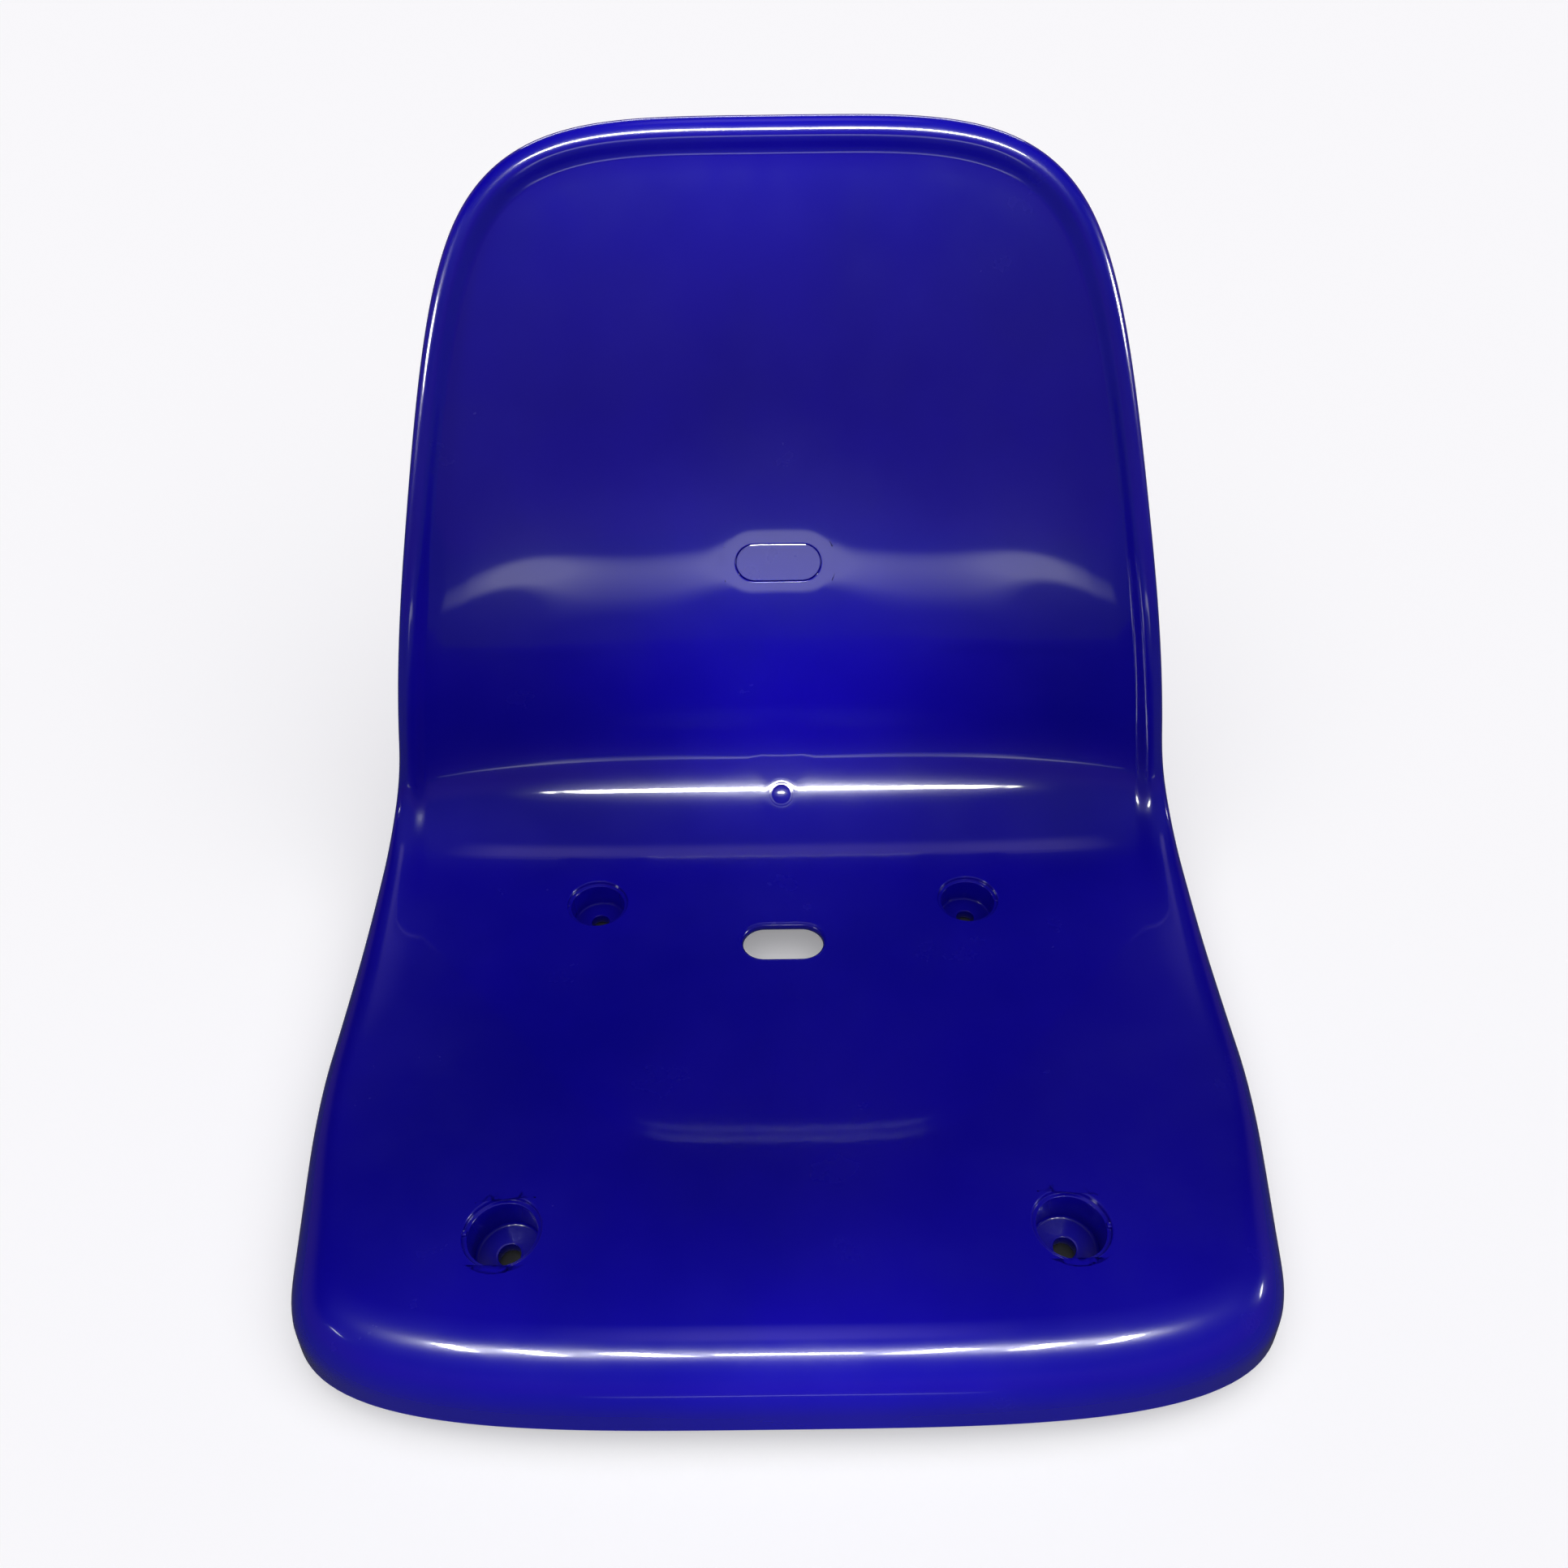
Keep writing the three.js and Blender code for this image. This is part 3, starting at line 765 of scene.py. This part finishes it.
def seatShell():
    outline = outlineLoop(edge["columns"], edge["rows"])
    piece = flatPanel(outline)
    addEdge(piece, outline)
    print("shell laid out flat:", len(piece.data.polygons), "faces")
    features = featureList()
    applyModifier(piece, "SOLIDIFY", thickness=edge["wall"], offset=-1.0, use_even_offset=True)
    openBlocks(piece, features)
    for group in (features[:4], features[4:5], features[5:6], features[6:]):
        if group[0]["low"]:
            sinkLoops(piece, group, "low")
        sinkLoops(piece, group, "top")
    editMode(piece)
    bpy.ops.mesh.select_all(action="SELECT")
    bpy.ops.mesh.remove_doubles(threshold=1e-6)
    bpy.ops.mesh.normals_make_consistent(inside=False)
    objectMode()
    print("cups, slot, recess and gate mark sunk:", len(piece.data.polygons), "faces")
    bendShell(piece)
    middle = (cup["radius"] + cup["bossRadius"]) / 2
    core = joined([
        cylinderAt("cupCore", middle, 0.0, cup["coreHeight"], place["top"].x, place["top"].y)
        for place in cups
    ])
    for part in ribPieces():
        combine(part, core, "DIFFERENCE", keep=True)
        combine(piece, part, "UNION")
    bpy.data.objects.remove(core)
    for place in cups:
        combine(piece, nibPiece(place), "UNION")
    combine(piece, pegHoles(), "DIFFERENCE")
    smoothShade(piece, edge["smooth"])
    print("shell bent and ribbed:", len(piece.data.polygons), "faces")
    return piece


# Steel bush that carries the bolt's clamping force through a cup and its pad
bush = {"bore": 0.00475, "edge": 0.0005, "sides": 64, "smooth": 35.0}


def drilled(piece, radius, bore):
    flat = editMode(piece, "FACE")
    for face in flat.faces:
        face.select = abs(face.normal.z) > 0.9 and len(face.verts) > 4
    bmesh.update_edit_mesh(piece.data)
    bpy.ops.mesh.inset(thickness=radius - bore, use_individual=True)
    bpy.ops.mesh.bridge_edge_loops()
    objectMode()


def bushPiece(name):
    low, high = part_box("bush_" + name)
    x, y, radius = (low[0] + high[0]) / 2, (low[1] + high[1]) / 2, (high[0] - low[0]) / 2
    piece = cylinderAt("bush_" + name + "_turned", radius, low[2], high[2], x, y, bush["sides"])
    drilled(piece, radius, bush["bore"])
    roundEdges(piece, bush["edge"], 3)
    smoothShade(piece, bush["smooth"])
    return piece


# Rubber pad under a boss, with a lip that grips it and grooves against creep
pad = {
    "wall": 0.0022,
    "seat": 0.0037,
    "bore": 0.007,
    "edge": 0.0004,
    "grooveWidth": 0.0014,
    "grooveDepth": 0.0006,
    "land": 0.0022,
    "grooves": 2,
    "sides": 72,
    "smooth": 40.0,
}


def pickFaces(piece, test):
    flat = bmesh.from_edit_mesh(piece.data)
    for face in flat.faces:
        face.select = test(face)
    bmesh.update_edit_mesh(piece.data)


def insetAndMove(thickness, rise):
    bpy.ops.mesh.inset(thickness=thickness)
    bpy.ops.transform.translate(value=(0.0, 0.0, rise))


def padPiece(name):
    low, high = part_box("foot_pad_" + name)
    x, y, radius = (low[0] + high[0]) / 2, (low[1] + high[1]) / 2, (high[0] - low[0]) / 2
    piece = cylinderAt("foot_pad_" + name + "_moulded", radius, low[2], high[2], x, y, pad["sides"])
    editMode(piece, "FACE")
    pickFaces(piece, lambda face: face.normal.z > 0.9)
    bpy.ops.mesh.inset(thickness=pad["wall"])
    drop = pad["seat"] - high[2] + low[2]
    bpy.ops.mesh.extrude_region_move(TRANSFORM_OT_translate={"value": (0.0, 0.0, drop)})
    bpy.ops.mesh.inset(thickness=radius - pad["wall"] - pad["bore"])
    pickFaces(piece, lambda face: face.normal.z < -0.9)
    inset = 0.0
    for groove in range(pad["grooves"]):
        insetAndMove(pad["land"], 0.0)
        insetAndMove(pad["grooveDepth"], pad["grooveDepth"])
        insetAndMove(pad["grooveWidth"], 0.0)
        insetAndMove(pad["grooveDepth"], -pad["grooveDepth"])
        inset += pad["land"] + pad["grooveWidth"] + 2 * pad["grooveDepth"]
    bpy.ops.mesh.inset(thickness=radius - inset - pad["bore"])
    pickFaces(piece, lambda face: len(face.verts) > 4)
    bpy.ops.mesh.bridge_edge_loops()
    objectMode()
    roundEdges(piece, pad["edge"], 2)
    smoothShade(piece, pad["smooth"])
    return piece


# Blank number plate with its two snap pegs. Its small smooth angle keeps the face flat up to its edge.
plate = {"edge": 0.0004, "sides": 96, "pegSides": 32, "smooth": 12.0}


def pegPiece(x, top):
    neckEnd = -edge["wall"] - recess["pad"] - recess["gap"]
    piece = cylinderAt("peg", recess["pegRadius"], neckEnd, top, x, 0.0, plate["pegSides"])
    flare = recess["headRadius"] / recess["pegRadius"]
    editMode(piece, "FACE")
    pickFaces(piece, lambda face: face.normal.z < -0.9)
    for drop, scale in ((0.0, flare), (recess["reach"], 1.0), (recess["headHeight"], 1.0 / flare)):
        bpy.ops.mesh.extrude_region_move(TRANSFORM_OT_translate={"value": (0.0, 0.0, -drop)})
        bpy.ops.transform.resize(value=(scale, scale, 1.0), center_override=(x, 0.0, 0.0))
    objectMode()
    return piece


def numberPlate():
    radius, reach = recess["width"] / 2, (recess["length"] - recess["width"]) / 2
    bpy.ops.mesh.primitive_cylinder_add(
        vertices=plate["sides"], radius=radius, depth=recess["thickness"],
        location=(0.0, 0.0, -recess["sink"] - recess["thickness"] / 2),
        rotation=(0.0, 0.0, math.pi / plate["sides"]),
    )
    piece = newest("numberPlate")
    piece.data.transform(piece.matrix_world)
    piece.matrix_world = Matrix()
    for vertex in piece.data.vertices:
        vertex.co.x += math.copysign(reach, vertex.co.x)
    roundEdges(piece, plate["edge"], 3)
    for side in (-1, 1):
        peg = pegPiece(side * recess["pegSpacing"] / 2, -recess["sink"] - recess["thickness"] / 2)
        combine(piece, peg, "UNION")
    piece.data.transform(surfaceFrame(0.0, recess["station"]))
    smoothShade(piece, plate["smooth"])
    return piece


# Shader maths in plain expressions: a wire is one output of a node
class Wire:
    def __init__(self, finish, socket):
        self.finish = finish
        self.socket = socket

    def maths(self, operation, first, second):
        return self.finish.node("Math", {"operation": operation}, {0: first, 1: second})

    def __add__(self, other):
        return self.maths("ADD", self, other)

    def __radd__(self, other):
        return self.maths("ADD", other, self)

    def __mul__(self, other):
        return self.maths("MULTIPLY", self, other)

    def __rmul__(self, other):
        return self.maths("MULTIPLY", other, self)


class Finish:
    def __init__(self, name, tree=None):
        if tree is None:
            self.material = bpy.data.materials.new(name)
            self.material.use_nodes = True
            tree = self.material.node_tree
        self.tree = tree
        tree.nodes.clear()

    def node(self, kind, settings=None, sockets=None, output=0):
        made = self.tree.nodes.new("ShaderNode" + kind)
        for key, value in (settings or {}).items():
            setattr(made, key, value)
        for key, value in (sockets or {}).items():
            if isinstance(value, Wire):
                self.tree.links.new(value.socket, made.inputs[key])
            else:
                made.inputs[key].default_value = value
        return Wire(self, made.outputs[output]) if made.outputs else None

    def objectPlace(self):
        return self.node("TexCoord", output="Object")

    def noise(self, place, scale, detail=2.0, roughness=0.5):
        sizes = {"Vector": place, "Scale": scale, "Detail": detail, "Roughness": roughness}
        return self.node("TexNoise", sockets=sizes, output="Fac")

    def mapped(self, value, low, high, newLow, newHigh):
        sockets = {"Value": value, "From Min": low, "From Max": high, "To Min": newLow, "To Max": newHigh}
        return self.node("MapRange", {"clamp": True}, sockets)

    def mix(self, factor, first, second):
        sockets = {0: factor, 6: first, 7: second}
        return self.node("Mix", {"data_type": "RGBA"}, sockets, output=2)

    def distance(self, place, middle, half):
        shifted = self.node("VectorMath", {"operation": "SUBTRACT"}, {0: place, 1: middle})
        scaled = self.node("VectorMath", {"operation": "DIVIDE"}, {0: shifted, 1: half})
        return self.node("VectorMath", {"operation": "LENGTH"}, {0: scaled}, output="Value")

    def bump(self, height, strength, distance):
        return self.node("Bump", sockets={"Strength": strength, "Distance": distance, "Height": height})

    def surface(self, **sockets):
        named = {key.replace("_", " "): value for key, value in sockets.items()}
        self.node("OutputMaterial", sockets={"Surface": self.node("BsdfPrincipled", sockets=named)})
        return self.material


def paint(red, green, blue):
    linear = []
    for part in (red / 255, green / 255, blue / 255):
        linear.append(part / 12.92 if part <= 0.04045 else ((part + 0.055) / 1.055) ** 2.4)
    return (*linear, 1.0)


# Glossy moulded plastic of the shell and the plate: even colour with faint flow and orange peel.
# A pattern is given as the scale, detail and roughness of its noise.
gloss = {
    "deep": paint(5, 1, 124),
    "pale": paint(10, 2, 135),
    "roughness": 0.24,
    "specular": 0.38,
    "coat": 1.0,
    "coatRoughness": 0.05,
    "coatIndex": 1.6,
    "flow": (9.0, 3.0, 0.55),
    "haze": (24.0, 5.0, 0.6),
    "hazeRange": (-0.02, 0.04),
    "peel": (420.0, 2.0, 0.5),
    "peelHeight": 0.000012,
    "wave": (14.0, 1.0, 0.4),
    "waveHeight": 0.00012,
    "plateHaze": 0.05,
}


def glossPlastic(name, roughness):
    finish = Finish(name)
    place = finish.objectPlace()
    flow = finish.noise(place, *gloss["flow"])
    colour = finish.mix(finish.mapped(flow, 0.35, 0.65, 0.0, 1.0), gloss["deep"], gloss["pale"])
    haze = finish.mapped(finish.noise(place, *gloss["haze"]), 0.4, 0.7, *gloss["hazeRange"])
    peel = finish.noise(place, *gloss["peel"])
    wave = finish.noise(place, *gloss["wave"])
    bump = finish.bump(wave * gloss["waveHeight"] + peel * gloss["peelHeight"], 1.0, 1.0)
    return finish.surface(
        Base_Color=colour,
        Roughness=roughness + haze,
        Specular_IOR_Level=gloss["specular"],
        Coat_Weight=gloss["coat"],
        Coat_Roughness=gloss["coatRoughness"],
        Coat_IOR=gloss["coatIndex"],
        Normal=bump,
    )


# Zinc-plated steel with turning marks
zinc = {
    "colour": paint(180, 182, 186),
    "dull": paint(150, 152, 158),
    "roughness": 0.34,
    "dullRoughness": 0.15,
    "cloud": (160.0, 4.0, 0.6),
    "rings": {"Scale": 900.0, "Distortion": 0.3},
    "ringStrength": 0.15,
    "ringHeight": 0.00005,
}


def zincSteel(name):
    finish = Finish(name)
    place = finish.objectPlace()
    cloud = finish.noise(place, *zinc["cloud"])
    colour = finish.mix(cloud, zinc["dull"], zinc["colour"])
    rings = finish.node("TexWave", {"bands_direction": "Z"}, {"Vector": place, **zinc["rings"]})
    return finish.surface(
        Base_Color=colour,
        Metallic=1.0,
        Roughness=zinc["roughness"] + cloud * zinc["dullRoughness"],
        Normal=finish.bump(rings, zinc["ringStrength"], zinc["ringHeight"]),
    )


# Moulded rubber with a fine grain and dust in it
rubber = {
    "colour": paint(23, 23, 26),
    "dust": paint(58, 57, 56),
    "dustPattern": (90.0, 6.0, 0.65),
    "dustRange": (0.5, 0.75, 0.0, 0.6),
    "roughness": 0.8,
    "dustRoughness": 0.15,
    "grain": (1600.0, 2.0, 0.6),
    "grainStrength": 0.4,
    "grainHeight": 0.0001,
}


def padRubber(name):
    finish = Finish(name)
    place = finish.objectPlace()
    dust = finish.mapped(finish.noise(place, *rubber["dustPattern"]), *rubber["dustRange"])
    grain = finish.noise(place, *rubber["grain"])
    return finish.surface(
        Base_Color=finish.mix(dust, rubber["colour"], rubber["dust"]),
        Roughness=rubber["roughness"] + dust * rubber["dustRoughness"],
        Normal=finish.bump(grain, rubber["grainStrength"], rubber["grainHeight"]),
    )


def dress(piece, node, material):
    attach(piece, "root")
    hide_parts(node)
    piece.data.materials.clear()
    piece.data.materials.append(material)


shellPlastic = glossPlastic("shellPlastic", gloss["roughness"])
platePlastic = glossPlastic("platePlastic", gloss["roughness"] + gloss["plateHaze"])
steel = zincSteel("zincSteel")
black = padRubber("padRubber")

dress(seatShell(), "seat_shell", shellPlastic)
dress(numberPlate(), "number_plate", platePlastic)
for place in cups:
    dress(bushPiece(place["name"]), "bush_" + place["name"], steel)
    dress(padPiece(place["name"]), "foot_pad_" + place["name"], black)
print("pieces dressed")


# Pale floor under the seat. To glossy rays alone it glows as a painted reflection: white in a long patch
# before the seat, less a painted-shade hollow at the patch's near end, and painted dim shade elsewhere.
# Lift is what the camera sees above the lit colour.
floor = {
    "radius": 9.0,
    "sides": 96,
    "colour": paint(249, 249, 250),
    "mottle": paint(238, 238, 241),
    "mottlePattern": (3.0, 2.0),
    "mottleShare": 0.02,
    "patch": (0.0, -2.3, 0.0),
    "patchHalf": (0.30, 1.65, 1.0),
    "patchEdge": (0.55, 1.15),
    "hollow": (0.0, -0.5, 0.0),
    "hollowHalf": (0.13, 0.85, 1.0),
    "hollowEdge": (0.80, 1.20),
    "dim": 0.05,
    "bright": 1.9,
    "lift": 0.24,
}


def addFloor():
    bpy.ops.mesh.primitive_circle_add(vertices=floor["sides"], radius=floor["radius"], fill_type="NGON")
    ground = newest("floor")
    finish = Finish("palePaint")
    place = finish.objectPlace()
    mottle = finish.noise(place, *floor["mottlePattern"]) * floor["mottleShare"]
    colour = finish.mix(mottle, floor["colour"], floor["mottle"])
    lit = finish.node("BsdfDiffuse", sockets={"Color": colour})
    seen = finish.node("LightPath", output="Is Camera Ray")
    mirrored = finish.node("LightPath", output="Is Glossy Ray")
    glow = finish.node("Emission", sockets={"Color": floor["colour"], "Strength": seen * floor["lift"]})
    # Painted reflection and painted shade: an emission seen only by glossy rays, bright in the patch, dark
    # in the hollow near the seat and dim elsewhere
    patch = finish.distance(place, floor["patch"], floor["patchHalf"])
    patch = finish.mapped(patch, *floor["patchEdge"], 1.0, 0.0)
    hollow = finish.distance(place, floor["hollow"], floor["hollowHalf"])
    patch = patch * finish.mapped(hollow, *floor["hollowEdge"], 0.0, 1.0)
    pale = floor["dim"] + patch * (floor["bright"] - floor["dim"])
    paintedReflection = finish.node("Emission", sockets={"Color": floor["colour"], "Strength": pale})
    plain = finish.node("AddShader", sockets={0: lit, 1: glow})
    both = finish.node("MixShader", sockets={0: mirrored, 1: plain, 2: paintedReflection})
    finish.node("OutputMaterial", sockets={"Surface": both})
    ground.data.materials.append(finish.material)


# Dim room: a little light low down, next to none halfway up, a pale strip of ceiling overhead and
# behind, and a plain pale backdrop for the camera alone. Heights and sides are parts of a direction.
room = {
    "low": (0.08, 0.05, 0.09, 1.0),
    "dark": (0.010, 0.008, 0.016, 1.0),
    "ceiling": (0.38, 0.31, 0.50, 1.0),
    "backdrop": (0.93, 0.93, 0.95, 1.0),
    "lowTop": (0.34, 0.54),
    "ceilingFoot": (0.84, 0.94),
    "ceilingSide": (0.06, 0.20),
    "ceilingFront": (0.06, 0.18),
}


def addRoom():
    world = bpy.data.worlds.new("room")
    world.use_nodes = True
    bpy.context.scene.world = world
    finish = Finish("room", world.node_tree)
    direction = finish.node("TexCoord", output="Generated")
    across = finish.node("SeparateXYZ", sockets={0: direction}, output="X")
    along = finish.node("SeparateXYZ", sockets={0: direction}, output="Y")
    height = finish.node("SeparateXYZ", sockets={0: direction}, output="Z")
    colour = finish.mix(finish.mapped(height, *room["lowTop"], 0.0, 1.0), room["low"], room["dark"])
    overhead = finish.mapped(height, *room["ceilingFoot"], 0.0, 1.0)
    overhead = overhead * finish.mapped(along, *room["ceilingFront"], 0.0, 1.0)
    side = finish.node("Math", {"operation": "ABSOLUTE"}, {0: across})
    overhead = overhead * finish.mapped(side, *room["ceilingSide"], 1.0, 0.0)
    colour = finish.mix(overhead, colour, room["ceiling"])
    colour = finish.mix(finish.node("LightPath", output="Is Camera Ray"), colour, room["backdrop"])
    light = finish.node("Background", sockets={"Color": colour, "Strength": 1.0})
    finish.node("OutputWorld", sockets={"Surface": light})


# Broad soft light for the colours, which reflections don't show, and strip lamps for the highlights.
# A row is a strip in parts with a grid on each: every part lights its own length of one edge of the seat.
# Reach is half the length of the row and of what it lights, and spread is the angle that a part opens to.
soft = {"strength": 2.5, "angle": 100.0, "turn": (24.0, 6.0, 0.0)}
strips = {
    "left": {
        "place": (-1.8, -0.6, 1.1), "aim": (-0.17, 0.19, 0.38), "size": (1.4, 0.26),
        "power": 0.8, "spread": 18.0,
    },
    "right": {
        "place": (2.0, 0.2, 0.95), "aim": (0.17, 0.19, 0.38), "size": (1.4, 0.26),
        "power": 1.0, "spread": 18.0,
    },
    "back": {
        "place": (0.0, 2.2, 1.5), "aim": (0.0, 0.0, 0.2), "size": (2.4, 0.20),
        "power": 8.0, "spread": 180.0,
    },
}
rows = {
    "lip": {
        "place": (-0.48, 0.94), "aim": (-0.393, 0.03), "reach": (0.56, 0.18),
        "parts": 7, "width": 0.045, "power": 0.25, "spread": 30.0,
    },
    "crease": {
        "place": (-0.92, 0.685), "aim": (0.10, 0.132), "reach": (0.17, 0.056),
        "parts": 5, "width": 0.075, "power": 0.0145, "spread": 11.0,
    },
    "rim": {
        "place": (-0.31, 0.986), "aim": (0.369, 0.396), "reach": (0.38, 0.155),
        "parts": 7, "width": 0.10, "power": 0.15, "spread": 26.0,
    },
}


def addLamp(name, kind, power):
    data = bpy.data.lights.new(name, kind)
    data.energy = power
    lamp = bpy.data.objects.new(name, data)
    lamp.visible_camera = False
    bpy.context.scene.collection.objects.link(lamp)
    return lamp


# Strip lamp that lights the seat alone and leaves the floor even
def addStrip(name, place, aim, size, power, spread, seat):
    lamp = addLamp(name, "AREA", power)
    lamp.data.shape = "RECTANGLE"
    lamp.data.size, lamp.data.size_y = size
    lamp.data.spread = math.radians(spread)
    lamp.location = place
    lamp.rotation_euler = (Vector(aim) - Vector(place)).to_track_quat("-Z", "Y").to_euler()
    lamp.light_linking.receiver_collection = seat


def addLamps():
    sky = addLamp("softLight", "SUN", soft["strength"])
    sky.data.angle = math.radians(soft["angle"])
    sky.rotation_euler = [math.radians(turn) for turn in soft["turn"]]
    sky.visible_glossy = False
    seat = bpy.data.collections.new("litByStrips")
    for piece in bpy.context.scene.objects:
        if piece.type == "MESH" and piece.name != "floor":
            seat.objects.link(piece)
    for name, strip in strips.items():
        addStrip(name + "Strip", *strip.values(), seat)
    for name, row in rows.items():
        for part in range(row["parts"]):
            share = (2 * part + 1) / row["parts"] - 1
            place = (share * row["reach"][0], *row["place"])
            aim = (share * row["reach"][1], *row["aim"])
            size = (2 * row["reach"][0] / row["parts"], row["width"])
            addStrip(name + "Row", place, aim, size, row["power"], row["spread"], seat)


# The camera looks down at the seat from in front
view = {
    "photoWidth": 1932,
    "focalPixels": 1400,
    "offsetPixels": -3.5,
    "sensor": 36.0,
    "pitch": 40.86,
    "roll": 0.73,
    "place": (0.0, -0.3739, 0.4774),
    "nearest": 0.01,
}


def addCamera():
    data = bpy.data.cameras.new("photoCamera")
    data.sensor_width = view["sensor"]
    data.lens = view["sensor"] * view["focalPixels"] / view["photoWidth"]
    data.shift_x = -view["offsetPixels"] / view["photoWidth"]
    data.clip_start = view["nearest"]
    camera = bpy.data.objects.new("photoCamera", data)
    bpy.context.scene.collection.objects.link(camera)
    turn = Matrix.Rotation(math.radians(90.0 - view["pitch"]), 4, "X") @ Matrix.Rotation(
        -math.radians(view["roll"]), 4, "Z"
    )
    camera.matrix_world = Matrix.Translation(view["place"]) @ turn
    bpy.context.scene.camera = camera


addFloor()
addRoom()
addLamps()
addCamera()
bpy.context.scene.view_settings.view_transform = "Standard"
print("stage set")
